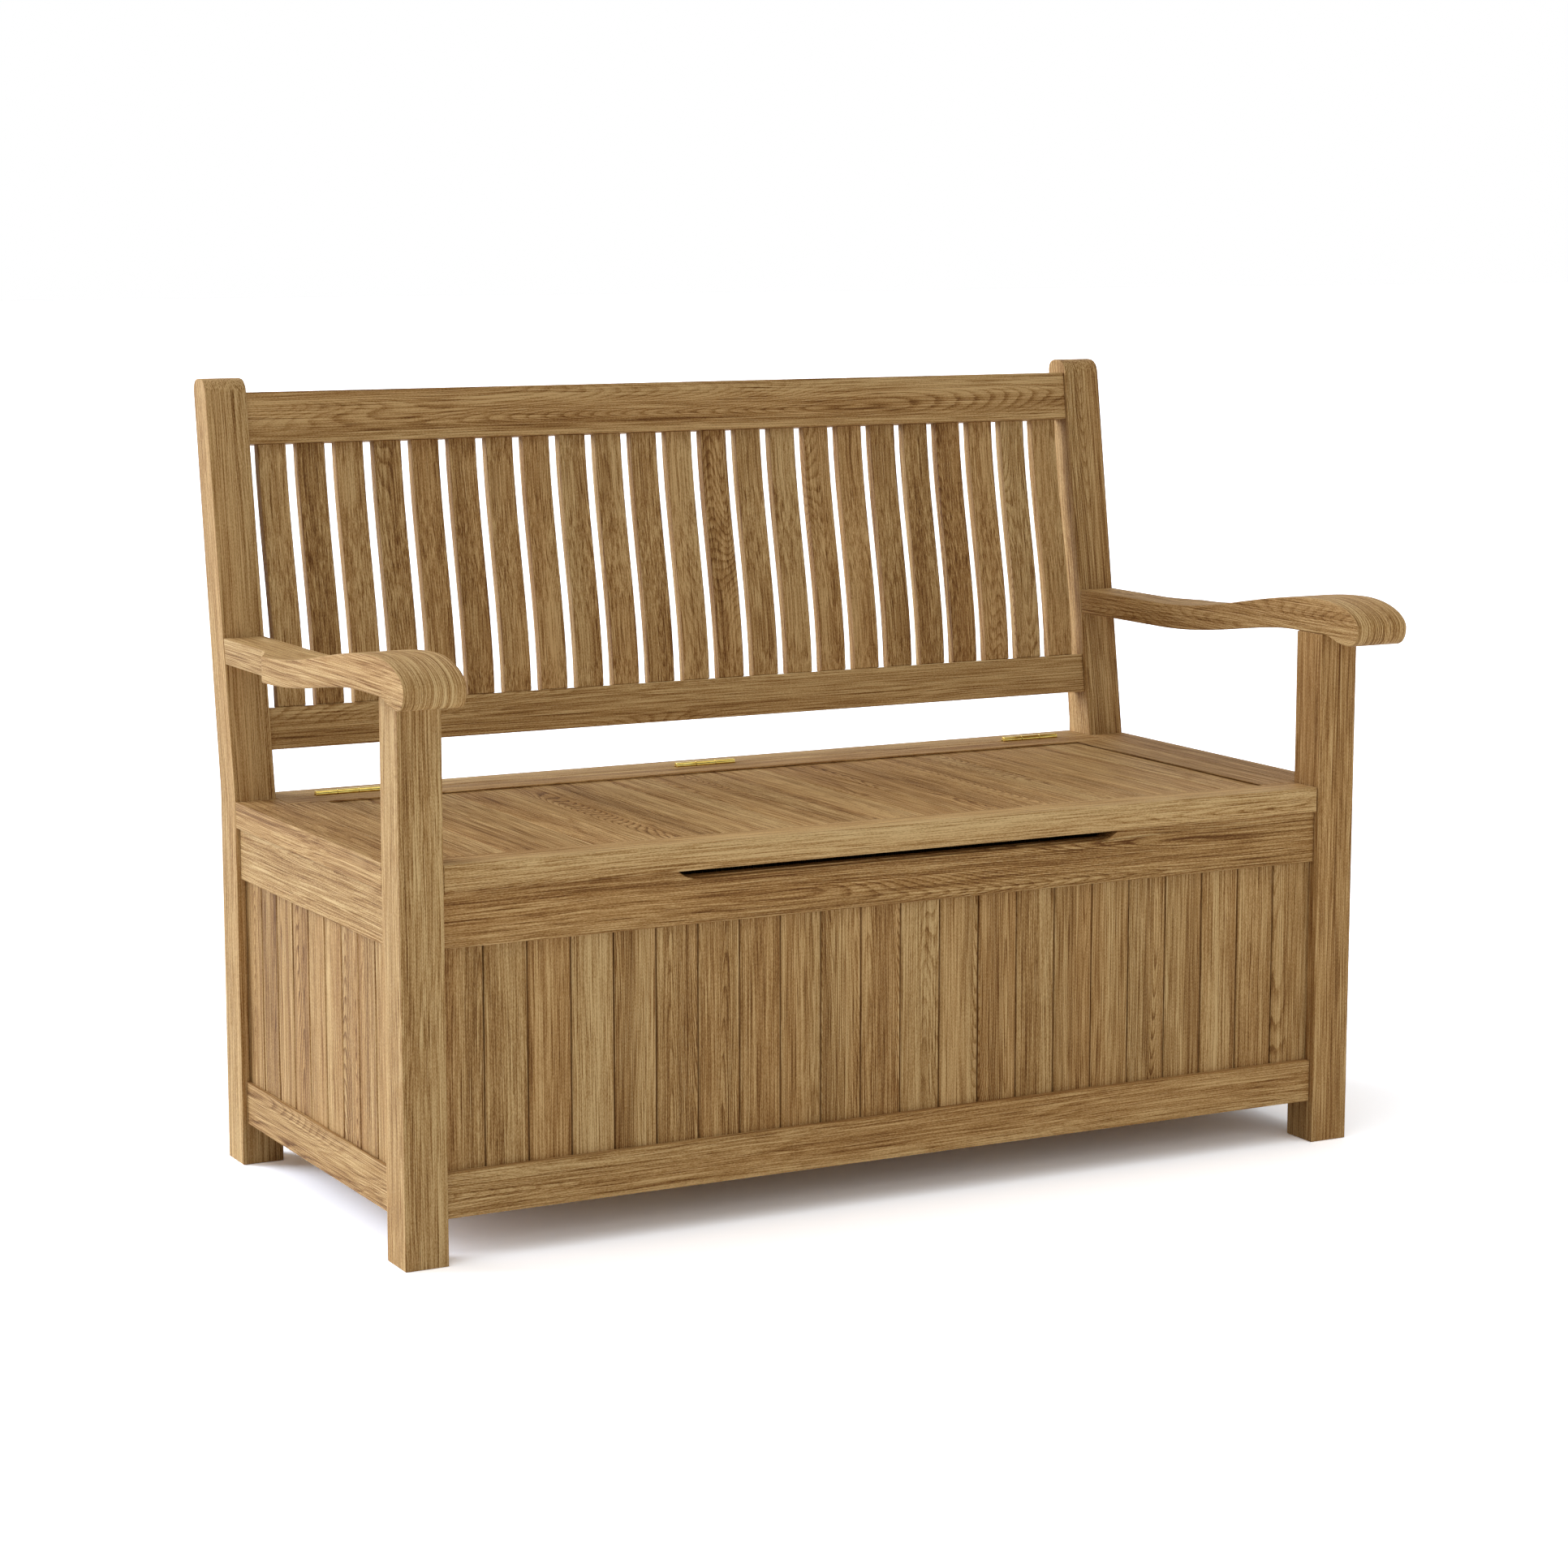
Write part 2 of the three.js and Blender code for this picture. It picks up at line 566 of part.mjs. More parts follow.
const floorPlate = box(
  [sideRails.get(-1).body.x[1] + FIT, sideRails.get(1).body.x[0] - FIT],
  [frontRail.body.y[1] + FIT, rearRail.body.y[0] - FIT],
  [floorUnderside, floorUnderside + FLOOR_THICKNESS],
);
const floorCorners = [];
for (const side of [-1, 1]) {
  for (const y of [[0, LEG], [postFront, DEPTH]]) {
    floorCorners.push(pocket(box(sideSpan(side, inner, outer), y, floorPlate.z)));
  }
}
addPiece(fixedFrame, 'floor_panel', cut(block(floorPlate), ...floorCorners), teakPanel);

// ---- Hinges ---------------------------------------------------------------------------------------------

// Butt hinges let into the lid's rear edge and the rear strip's front edge, with only their
// knuckles above the wood. The two outer knuckles and the pin, riveted in them, belong to
// the fixed leaf, and the middle knuckle turns on the pin with the lid's leaf.
const leafTop = hingeZ;
const leafZ = [leafTop - LEAF_HEIGHT, leafTop];
const endHingeX = lidSide - HINGE_INSET;
const hingeXs = Array.from({ length: HINGES }, (_, i) => (
  THREE.MathUtils.lerp(-endHingeX, endHingeX, i / (HINGES - 1))
));

function hingeParts(x) {
  const half = HINGE_LENGTH / 2;
  const third = HINGE_LENGTH / 6; // half the length of one knuckle
  const span = (from, to) => [x + from, x + to];
  const barrel = (from, to, radius = KNUCKLE_RADIUS) => rod(radius, span(from, to), hingeY, hingeZ);
  const nearLeaf = LEAF_GAP / 2;
  const farLeaf = nearLeaf + LEAF_THICKNESS;
  const fixedLeaf = box(span(-half, half), [hingeY + nearLeaf, hingeY + farLeaf], leafZ);
  const movingLeaf = box(span(-half, half), [hingeY - farLeaf, hingeY - nearLeaf], leafZ);
  const fixed = join(
    cut(block(fixedLeaf), barrel(-third - FIT, third + FIT, KNUCKLE_RADIUS + RUNNING)),
    barrel(-half, -third - FIT),
    barrel(third + FIT, half),
    barrel(-half, half, PIN_RADIUS),
  );
  const moving = cut(
    join(
      cut(
        block(movingLeaf),
        barrel(-half - 1, -third, KNUCKLE_RADIUS + RUNNING),
        barrel(third, half + 1, KNUCKLE_RADIUS + RUNNING),
      ),
      barrel(-third, third),
    ),
    barrel(-third - 1, third + 1, PIN_RADIUS + PIN_FIT),
  );
  return { fixed, moving, fixedLeaf, movingLeaf };
}

const hinges = hingeXs.map(hingeParts);
hinges.forEach(({ fixed, moving }, i) => {
  addPiece(fixedFrame, `hinge_${i + 1}_fixed_leaf`, fixed, brass);
  addPiece(lid, `hinge_${i + 1}_lid_leaf`, moving, brass);
});

// The round relief that lets the knuckles sink into the two edges of the wood.
const knuckleReliefs = hingeXs.map((x) => rod(
  KNUCKLE_RADIUS + RUNNING,
  [x - HINGE_LENGTH / 2 - RUNNING, x + HINGE_LENGTH / 2 + RUNNING],
  hingeY,
  hingeZ,
));

addPiece(fixedFrame, 'rear_seat_strip', cut(
  block(box(
    [-inner + SEAM, inner - SEAM],
    [hingeY + HINGE_GAP / 2, DEPTH],
    [apronTop + SEAM, SEAT_HEIGHT],
  )),
  ...hinges.map(({ fixedLeaf }) => pocket(fixedLeaf)),
  ...knuckleReliefs,
), teak);

// ---- The lid ----------------------------------------------------------------------------------------------

const lidZ = [seatUnderside, SEAT_HEIGHT];
const lidY = [LID_SETBACK, hingeY - HINGE_GAP / 2];
const lidPanelZ = [lidPanelTop - LID_PANEL_THICKNESS, lidPanelTop];
const openY = [lidY[0] + LID_MEMBER, lidY[1] - LID_MEMBER];
const openSide = lidSide - LID_MEMBER;
const lidPanel = box(
  [-openSide - GROOVE, openSide + GROOVE],
  [openY[0] - GROOVE, openY[1] + GROOVE],
  lidPanelZ,
);
const stileTenonZ = [seatUnderside + TENON_HAUNCH, SEAT_HEIGHT - TENON_HAUNCH];
const lidStiles = [-1, 1].map((side) => {
  const x = sideSpan(side, openSide, lidSide);
  return {
    side,
    body: box(x, [openY[0] + SEAM, openY[1] - SEAM], lidZ),
    tenons: box(
      [x[0] + TENON_SHOULDER + GROOVE, x[1] - TENON_SHOULDER - GROOVE],
      [openY[0] - TENON, openY[1] + TENON],
      stileTenonZ,
    ),
  };
});
const stileMortises = () => lidStiles.map(({ tenons }) => pocket(tenons));

addPiece(lid, 'lid_front_rail', cut(
  block(box([-lidSide, lidSide], [lidY[0], openY[0]], lidZ)),
  pocket(lidPanel),
  ...stileMortises(),
), teak);
addPiece(lid, 'lid_rear_rail', cut(
  block(box([-lidSide, lidSide], [openY[1], lidY[1]], lidZ)),
  pocket(lidPanel),
  ...stileMortises(),
  ...hinges.map(({ movingLeaf }) => pocket(movingLeaf)),
  ...knuckleReliefs,
), teak);
lidStiles.forEach((stile) => {
  const name = stile.side < 0 ? 'lid_left_stile' : 'lid_right_stile';
  addPiece(lid, name, cut(railSolid(stile), pocket(lidPanel)), teak);
});
addPiece(lid, 'lid_panel', prism('y', polygon(boardedPlan(
  lidPanel.x[1], lidPanelZ[1], lidPanelZ[0], LID_BOARDS, LID_VEE,
)), lidPanel.y), teakPanel);

// ---- Origin at the middle of the footprint's box, on the floor --------------------------------------------

const bounds = new THREE.Box3().setFromObject(bench);
bench.position.y = -(bounds.min.y + bounds.max.y) / 2;

export default bench;
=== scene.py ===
"""Garden storage bench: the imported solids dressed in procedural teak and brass, with finer
boarded panels, armrests and hinges in the place of the plain ones. Metres, +Z up and the
front towards -Y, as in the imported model."""

import json
import math
import random

import bmesh
import bpy
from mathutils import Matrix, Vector


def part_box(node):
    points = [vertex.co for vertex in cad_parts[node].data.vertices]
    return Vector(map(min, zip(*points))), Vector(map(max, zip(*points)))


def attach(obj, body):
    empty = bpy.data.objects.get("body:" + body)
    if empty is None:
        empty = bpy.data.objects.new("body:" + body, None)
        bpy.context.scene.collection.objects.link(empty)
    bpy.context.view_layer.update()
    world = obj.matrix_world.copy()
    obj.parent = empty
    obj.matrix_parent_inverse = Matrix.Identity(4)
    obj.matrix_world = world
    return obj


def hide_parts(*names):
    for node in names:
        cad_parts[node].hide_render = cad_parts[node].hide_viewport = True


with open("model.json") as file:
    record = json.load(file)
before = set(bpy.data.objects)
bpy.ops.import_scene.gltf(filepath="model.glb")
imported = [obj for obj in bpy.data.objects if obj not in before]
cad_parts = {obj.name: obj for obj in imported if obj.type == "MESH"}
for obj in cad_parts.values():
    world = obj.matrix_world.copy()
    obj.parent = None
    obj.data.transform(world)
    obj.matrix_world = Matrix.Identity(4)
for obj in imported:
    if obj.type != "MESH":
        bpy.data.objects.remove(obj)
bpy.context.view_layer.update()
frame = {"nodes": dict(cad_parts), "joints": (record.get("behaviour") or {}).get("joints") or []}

NODES = frame["nodes"]
MM = 0.001
X, Y, Z = range(3)

LEAN = math.tan(math.radians(8.5))      # of the back, from the seat's top upwards
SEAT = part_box("lid_front_rail")[1][Z]
HINGE_LINE = Vector(frame["joints"][0]["pos_m"])


# ---- Shader nodes ---------------------------------------------------------------------------

class Tree:
    """Adds nodes to a material or a world, and wires them as they are made."""

    def __init__(self, owner):
        owner.use_nodes = True
        self.owner = owner
        self.nodes = owner.node_tree.nodes
        self.links = owner.node_tree.links
        self.nodes.clear()

    def add(self, kind, values=None, **settings):
        node = self.nodes.new(kind)
        for key, value in settings.items():
            setattr(node, key, value)
        for key, value in (values or {}).items():
            self.put(node.inputs[key], value)
        return node

    def put(self, socket, value):
        if isinstance(value, bpy.types.NodeSocket):
            self.links.new(value, socket)
        else:
            socket.default_value = value

    def math(self, operation, a, b=0.0, c=0.0, clamp=False):
        node = self.add("ShaderNodeMath", {0: a, 1: b}, operation=operation, use_clamp=clamp)
        if operation == "MULTIPLY_ADD":
            self.put(node.inputs[2], c)
        return node.outputs[0]

    def vector(self, operation, a, b):
        return self.add("ShaderNodeVectorMath", {0: a, 1: b}, operation=operation).outputs[0]

    def noise(self, vector, detail=2.0, roughness=0.5):
        return self.add("ShaderNodeTexNoise", {
            "Vector": vector, "Scale": 1.0, "Detail": detail, "Roughness": roughness,
        }).outputs["Fac"]

    def span(self, value, low, high, to_low=0.0, to_high=1.0, smooth=False):
        return self.add("ShaderNodeMapRange", {
            "Value": value, "From Min": low, "From Max": high, "To Min": to_low, "To Max": to_high,
        }, interpolation_type="SMOOTHSTEP" if smooth else "LINEAR").outputs["Result"]

    def mix(self, factor, a, b, blend="MIX"):
        """Mixes two colours, which are the node's sockets 6 and 7."""
        node = self.add("ShaderNodeMix", data_type="RGBA", blend_type=blend)
        self.put(node.inputs["Factor"], factor)
        self.put(node.inputs[6], a)
        self.put(node.inputs[7], b)
        return node.outputs[2]

    def ramp(self, factor, stops):
        node = self.add("ShaderNodeValToRGB", {"Fac": factor})
        elements = node.color_ramp.elements
        while len(elements) < len(stops):
            elements.new(0.5)
        for element, (position, colour) in zip(elements, stops):
            element.position = position
            element.color = colour
        return node.outputs["Color"]

    def finish(self, shader, kind="ShaderNodeOutputMaterial"):
        output = self.nodes.new(kind)
        self.links.new(shader, output.inputs["Surface"])
        return self.owner


def new_material(name):
    return Tree(bpy.data.materials.new(name))


def srgb(r, g, b):
    """A colour written as 0 to 255 on the screen, in the linear values that Blender takes."""
    def linear(c):
        c /= 255
        return c / 12.92 if c <= 0.04045 else ((c + 0.055) / 1.055) ** 2.4
    return (linear(r), linear(g), linear(b), 1.0)


def grey(level):
    return (level, level, level, 1.0)


# ---- Teak -----------------------------------------------------------------------------------

TEAK_STOPS = [
    (0.08, srgb(98, 62, 26)), (0.34, srgb(145, 106, 59)),
    (0.54, srgb(178, 140, 87)), (0.84, srgb(216, 184, 130)),
]
TEAK_WARM = srgb(240, 196, 140)         # multiplies the colour where the wood is redder
KNOT_HALO = srgb(196, 160, 108)
KNOT_HEART = srgb(96, 62, 30)
RINGS = 96.0                            # growth rings over the whole range of their field


def teak(name, grain, attribute=None, leaning=False, figure=1.0, banding=0.55, level=0.56):
    """Oiled teak whose grain runs along the named axis of the piece's own coordinates, or of a
    vector attribute that follows a bent surface. Each piece, and each board, is another cut.
    In a leaning piece the grain leans with the back. figure is how plainly the rings show,
    banding how much the broad bands of colour do, and level how light the wood is."""
    t = new_material(name)
    if attribute:
        place = t.add("ShaderNodeAttribute", attribute_name=attribute).outputs["Vector"]
    else:
        place = t.add("ShaderNodeTexCoord").outputs["Object"]
    if leaning:
        height = t.add("ShaderNodeSeparateXYZ", {0: place}).outputs["Z"]
        above = t.math("MAXIMUM", t.math("SUBTRACT", height, SEAT), 0.0)
        upright = t.add("ShaderNodeCombineXYZ", {"Y": t.math("MULTIPLY", above, -LEAN)})
        place = t.vector("ADD", place, upright.outputs[0])

    # Where in the log each piece and each board is cut from.
    chance = t.add("ShaderNodeObjectInfo").outputs["Random"]
    board = t.add("ShaderNodeAttribute", attribute_name="board").outputs["Vector"]
    piece = t.add("ShaderNodeCombineXYZ", {
        i: t.math("MULTIPLY", chance, spread) for i, spread in enumerate((37.0, 91.0, 53.0))
    }).outputs[0]
    cut = t.vector("ADD", piece, board)
    split = t.add("ShaderNodeSeparateXYZ", {0: t.vector("ADD", place, cut)}).outputs
    along = split["XYZ".index(grain)]
    across = [s for i, s in enumerate(split) if i != "XYZ".index(grain)]

    def stretched(wide, long, sway=None):
        """The point in a space where lengths along the grain are squeezed."""
        u, v = across
        if sway is not None:
            u, v = t.math("ADD", u, sway), t.math("ADD", v, sway)
        return t.add("ShaderNodeCombineXYZ", {
            0: t.math("MULTIPLY", u, wide), 1: t.math("MULTIPLY", v, wide),
            2: t.math("MULTIPLY", along, long),
        }).outputs[0]

    # The fibres wander a little along the board.
    swing = t.noise(stretched(9.0, 2.6), 1.0)
    wander = t.math("MULTIPLY", t.math("SUBTRACT", swing, 0.5), 0.010)

    # Growth rings are the level lines of a slow field, so that they run straight, arch into
    # cathedrals or close round a heart as the field does.
    field = t.noise(stretched(15.0, 1.1, wander), 1.0, 0.3)
    ragged = t.noise(stretched(420.0, 30.0, wander), 2.0)
    ring = t.math("FRACT", t.math("MULTIPLY_ADD", field, RINGS, t.math("MULTIPLY", ragged, 0.5)))
    late = t.math("MULTIPLY", t.span(ring, 0.40, 0.92, smooth=True), t.span(ring, 1.0, 0.92))
    figured = t.span(t.noise(stretched(15.0, 0.9), 1.0), 0.47, 0.62, 0.15, 1.0)

    # Broad bands of colour, streaks, fibres, a fine grit, pale threads and dark open pores.
    band = t.noise(stretched(62.0, 0.5, wander), 1.0, 0.6)
    streak = t.noise(stretched(430.0, 2.4, wander), 2.0, 0.7)
    fibre = t.noise(stretched(1100.0, 11.0, wander), 2.0, 0.6)
    grit = t.noise(stretched(1500.0, 420.0), 0.0)
    thread = t.span(t.noise(stretched(640.0, 6.0, wander), 1.0), 0.58, 0.66)
    pore = t.span(t.noise(stretched(760.0, 9.0, wander), 1.0), 0.58, 0.68)
    tone = t.add("ShaderNodeTexWhiteNoise", {"Vector": cut}, noise_dimensions="3D").outputs["Value"]

    value = level
    for layer, weight in ((band, banding), (streak, 0.72), (fibre, 1.25), (grit, 0.45),
                          (tone, 0.17)):
        value = t.math("MULTIPLY_ADD", t.math("SUBTRACT", layer, 0.5), weight, value)
    rings = t.math("MULTIPLY", late, figured)
    for layer, weight in ((rings, -0.36 * figure), (pore, -0.24), (thread, 0.16)):
        value = t.math("MULTIPLY_ADD", layer, weight, value)
    colour = t.ramp(value, TEAK_STOPS)
    warm = t.noise(stretched(16.0, 0.6), 1.0)
    toasted = t.mix(1.0, colour, TEAK_WARM, "MULTIPLY")
    colour = t.mix(t.span(warm, 0.40, 0.66, 0.0, 0.20), colour, toasted)

    # Small knots in a few of the cells, with a pale halo round them.
    cells = t.add("ShaderNodeTexVoronoi", {
        "Vector": stretched(15.0, 8.0, wander), "Scale": 1.0, "Randomness": 0.9,
    }, feature="F1", voronoi_dimensions="3D")
    draw = t.add("ShaderNodeSeparateColor", {0: cells.outputs["Color"]}).outputs[0]
    chosen = t.span(draw, 0.86, 0.87)
    away = cells.outputs["Distance"]
    halo = t.math("MULTIPLY", t.span(away, 0.28, 0.08, smooth=True), chosen)
    heart = t.math("MULTIPLY", t.span(away, 0.05, 0.02, smooth=True), chosen)
    colour = t.mix(t.math("MULTIPLY", halo, 0.30), colour, KNOT_HALO)
    colour = t.mix(t.math("MULTIPLY", heart, 0.75), colour, KNOT_HEART)

    relief = t.math("MULTIPLY_ADD", pore, -0.8, t.math("MULTIPLY_ADD", late, 0.2, fibre))
    bump = t.add("ShaderNodeBump", {"Strength": 0.30, "Distance": 0.4 * MM, "Height": relief})
    rough = t.math("MULTIPLY_ADD", fibre, -0.16, t.math("MULTIPLY_ADD", pore, 0.12, 0.72))
    shader = t.add("ShaderNodeBsdfPrincipled", {
        "Base Color": colour, "Roughness": rough, "Specular IOR Level": 0.16,
        "Normal": bump.outputs["Normal"],
    })
    return t.finish(shader.outputs[0])


def brass():
    """Polished brass with a fine lengthwise brushing and a little tarnish."""
    t = new_material("brass")
    place = t.add("ShaderNodeTexCoord").outputs["Object"]
    brushed = t.noise(t.vector("MULTIPLY", place, (60.0, 2600.0, 2600.0)), 3.0, 0.6)
    dull = t.noise(t.vector("MULTIPLY", place, (90.0, 240.0, 240.0)), 4.0, 0.6)
    colour = t.ramp(dull, [
        (0.3, srgb(214, 180, 84)), (0.55, srgb(240, 216, 122)), (0.8, srgb(246, 228, 150)),
    ])
    bump = t.add("ShaderNodeBump", {"Strength": 0.2, "Distance": 0.08 * MM, "Height": brushed})
    rough = t.math("MULTIPLY_ADD", dull, 0.14, t.math("MULTIPLY", brushed, 0.08))
    shader = t.add("ShaderNodeBsdfPrincipled", {
        "Base Color": colour, "Metallic": 1.0, "Roughness": rough,
        "Normal": bump.outputs["Normal"],
    })
    return t.finish(shader.outputs[0])


TEAK = {axis: teak("teak_" + axis.lower(), axis) for axis in "XYZ"}
TEAK_BACK = {
    axis: teak("teak_back_" + axis.lower(), axis, leaning=True, figure=0.7) for axis in "XZ"
}
TEAK_LEG = teak("teak_leg", "Z", figure=0.2, banding=0.5, level=0.51)
TEAK_BENT = teak("teak_bent", "Y", attribute="grain", figure=0.45, banding=0.35)
BRASS = brass()


# ---- Meshes ---------------------------------------------------------------------------------

def ease(piece, width, angle, segments=2, clamp=True, arcs=False):
    """Rounds the edges sharper than angle degrees, as sanding does, and keeps the broad faces
    flat. arcs rounds the corners where the rounded edges meet as well."""
    bevel = piece.modifiers.new("ease", "BEVEL")
    bevel.width = width
    bevel.segments = segments
    bevel.limit_method = "ANGLE"
    bevel.angle_limit = math.radians(angle)
    bevel.use_clamp_overlap = clamp
    if arcs:
        bevel.miter_outer = "MITER_ARC"
    normals = piece.modifiers.new("shade", "WEIGHTED_NORMAL")
    normals.keep_sharp = False


def add_mesh(name, vertices, faces, material):
    mesh = bpy.data.meshes.new(name)
    mesh.from_pydata([tuple(v) for v in vertices], [], faces)
    mesh.validate()
    mesh.materials.append(material)
    mesh.polygons.foreach_set("use_smooth", [True] * len(mesh.polygons))
    piece = bpy.data.objects.new(name, mesh)
    bpy.context.scene.collection.objects.link(piece)
    return piece


def outward(vertices, faces):
    """The faces of a closed mesh, all turned outwards."""
    mesh = bpy.data.meshes.new("turn")
    mesh.from_pydata([tuple(v) for v in vertices], [], faces)
    bm = bmesh.new()
    bm.from_mesh(mesh)
    bmesh.ops.recalc_face_normals(bm, faces=bm.faces)
    turned = [[v.index for v in f.verts] for f in bm.faces]
    bm.free()
    bpy.data.meshes.remove(mesh)
    return turned


def gather(parts):
    """One list of vertices and one of faces from several closed bodies."""
    vertices, faces = [], []
    for body_vertices, body_faces in parts:
        base = len(vertices)
        faces += [[base + i for i in face] for face in outward(body_vertices, body_faces)]
        vertices += body_vertices
    return vertices, faces


def prism(section, span, axes):
    """A closed outline extruded over span. axes are the indices of the outline's two
    directions and of the length."""
    vertices = []
    for end in span:
        for u, w in section:
            corner = [0.0, 0.0, 0.0]
            corner[axes[0]], corner[axes[1]], corner[axes[2]] = u, w, end
            vertices.append(corner)
    n = len(section)
    faces = [list(range(n)), list(range(n, 2 * n))]
    faces += [[i, (i + 1) % n, n + (i + 1) % n, n + i] for i in range(n)]
    return vertices, faces


def bands(rings, sides):
    """The faces between rings of vertices that follow each other."""
    return [[i * sides + k, i * sides + (k + 1) % sides,
             (i + 1) * sides + (k + 1) % sides, (i + 1) * sides + k]
            for i in range(rings - 1) for k in range(sides)]


def bezier(p0, p1, p2, p3, steps):
    """Points of a cubic curve after its first."""
    for i in range(1, steps + 1):
        s = i / steps
        r = 1 - s
        yield tuple(r ** 3 * a + 3 * r * r * s * b + 3 * r * s * s * c + s ** 3 * d
                    for a, b, c, d in zip(p0, p1, p2, p3))


def stand_for(piece, node, body):
    """Gives a new piece its place in the model: what it replaces and rides on."""
    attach(piece, body)
    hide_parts(node)


# ---- The solids that stay -------------------------------------------------------------------

GRAIN = {
    "X": ["front_apron", "rear_apron", "front_bottom_rail", "rear_bottom_rail", "top_back_rail",
          "lower_back_rail", "front_floor_cleat", "rear_floor_cleat", "rear_seat_strip",
          "lid_front_rail", "lid_rear_rail"],
    "Y": ["left_side_apron", "right_side_apron", "left_bottom_rail", "right_bottom_rail",
          "left_seat_strip", "right_seat_strip", "lid_left_stile", "lid_right_stile"],
    "Z": ["front_left_leg", "front_right_leg", "rear_left_post", "rear_right_post"]
         + sorted(n for n in NODES if n.startswith("back_slat_")),
}
LEANING = ("back_slat_", "rear_left_post", "rear_right_post", "top_back_rail", "lower_back_rail")
EASE = 1.3 * MM
EASE_FINE = 0.8 * MM        # of the slats, and of the edges round the hinges' shallow recesses

for axis, names in GRAIN.items():
    for name in names:
        solid = NODES[name]
        if name.endswith("_leg"):
            solid.data.materials[0] = TEAK_LEG
        else:
            solid.data.materials[0] = (TEAK_BACK if name.startswith(LEANING) else TEAK)[axis]
        fine = name.startswith("back_slat_") or name in ("lid_rear_rail", "rear_seat_strip")
        weld = solid.modifiers.new("weld", "WELD")
        weld.merge_threshold = 0.02 * MM
        ease(solid, EASE_FINE if fine else EASE, 32, clamp=False, arcs=True)


# ---- Boarded panels -------------------------------------------------------------------------

GROOVE = 6 * MM                     # how far a panel's edge enters the frame round it
TONGUE = 3 * MM                     # how far a tongue enters the next board
TONGUE_SLACK = 0.4 * MM             # left at the end of a tongue
TONGUE_SHARE = (0.42, 0.62)         # where the tongue lies in a board's thickness
SLOT_SHARE = (0.39, 0.65)           # and the slot that takes it
BOARD_SHOULDER = 0.2 * MM
BOARD_STEP = 0.25 * MM              # the most that a board's face lies behind the panel's
LOG = 40.0                          # how far apart two boards may be cut from

WALL_JOINT = (1.7 * MM, 1.2 * MM)
SEAT_JOINT = (0.4 * MM, 0.6 * MM)


def boards(node, body, across, length, face, count, joint, spans=None):
    """A panel of tongue-and-groove boards in the place of a CAD plate. across and length are
    axis indices, and face is the sign of the side that shows. joint is (gap, chamfer): the open
    gap between two boards down to the tongue, and the chamfer of each board's edge. spans gives
    a board's two ends where they aren't the plate's."""
    low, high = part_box(node)
    depth = 3 - across - length
    chance = random.Random(node)
    front, back = (high[depth], low[depth]) if face > 0 else (low[depth], high[depth])
    thick = abs(back - front)
    start, stop = low[across] + GROOVE, high[across] - GROOVE
    pitch = (stop - start) / count
    gap, chamfer = joint
    last = count - 1

    def behind(distance):
        return front - face * distance

    tongue = [behind(thick * share) for share in TONGUE_SHARE]
    slot = [behind(thick * share) for share in SLOT_SHARE]
    bodies, cuts = [], []
    for i in range(count):
        u0 = low[across] if i == 0 else start + i * pitch + gap / 2
        u1 = high[across] if i == last else start + (i + 1) * pitch - gap / 2
        lip0 = 0.0 if i == 0 else chamfer
        lip1 = 0.0 if i == last else chamfer
        top = behind(chance.uniform(0.0, BOARD_STEP))
        section = [(u0 + lip0, top), (u1 - lip1, top), (u1, behind(BOARD_SHOULDER + lip1))]
        if i < last:
            tip = u1 + gap + TONGUE
            section += [(u1, tongue[0]), (tip, tongue[0]), (tip, tongue[1]), (u1, tongue[1])]
        section += [(u1, back), (u0, back)]
        if i > 0:
            end = u0 + gap + TONGUE + TONGUE_SLACK
            section += [(u0, slot[1]), (end, slot[1]), (end, slot[0]), (u0, slot[0])]
        section += [(u0, behind(BOARD_SHOULDER + lip0))]
        span = spans(u0, u1, low, high) if spans else (low[length], high[length])
        bodies.append(prism(section, span, (across, depth, length)))
        cuts += [tuple(chance.uniform(-LOG, LOG) for _ in range(3))] * (2 * len(section))
    piece = add_mesh(node + "_boards", *gather(bodies), TEAK["XYZ"[length]])
    attribute = piece.data.attributes.new("board", "FLOAT_VECTOR", "POINT")
    attribute.data.foreach_set("vector", [c for cut in cuts for c in cut])
    ease(piece, 0.35 * MM, 32)
    stand_for(piece, node, body)


def between_legs(u0, u1, low, high):
    """The floor's boards beside the legs stop short of them."""
    clear = 0.3 * MM
    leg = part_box("front_right_leg")
    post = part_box("rear_right_post")
    if max(abs(u0), abs(u1)) > leg[0][X] - clear:
        return leg[1][Y] + clear, post[0][Y] - clear
    return low[Y], high[Y]


boards("front_panel", "frame", X, Z, -1, 22, WALL_JOINT)
boards("rear_panel", "frame", X, Z, 1, 22, WALL_JOINT)
boards("left_side_panel", "frame", Y, Z, -1, 9, WALL_JOINT)
boards("right_side_panel", "frame", Y, Z, 1, 9, WALL_JOINT)
boards("lid_panel", "lid", X, Y, 1, 20, SEAT_JOINT)
boards("floor_panel", "frame", X, Y, 1, 20, SEAT_JOINT, between_legs)


# ---- Armrests -------------------------------------------------------------------------------

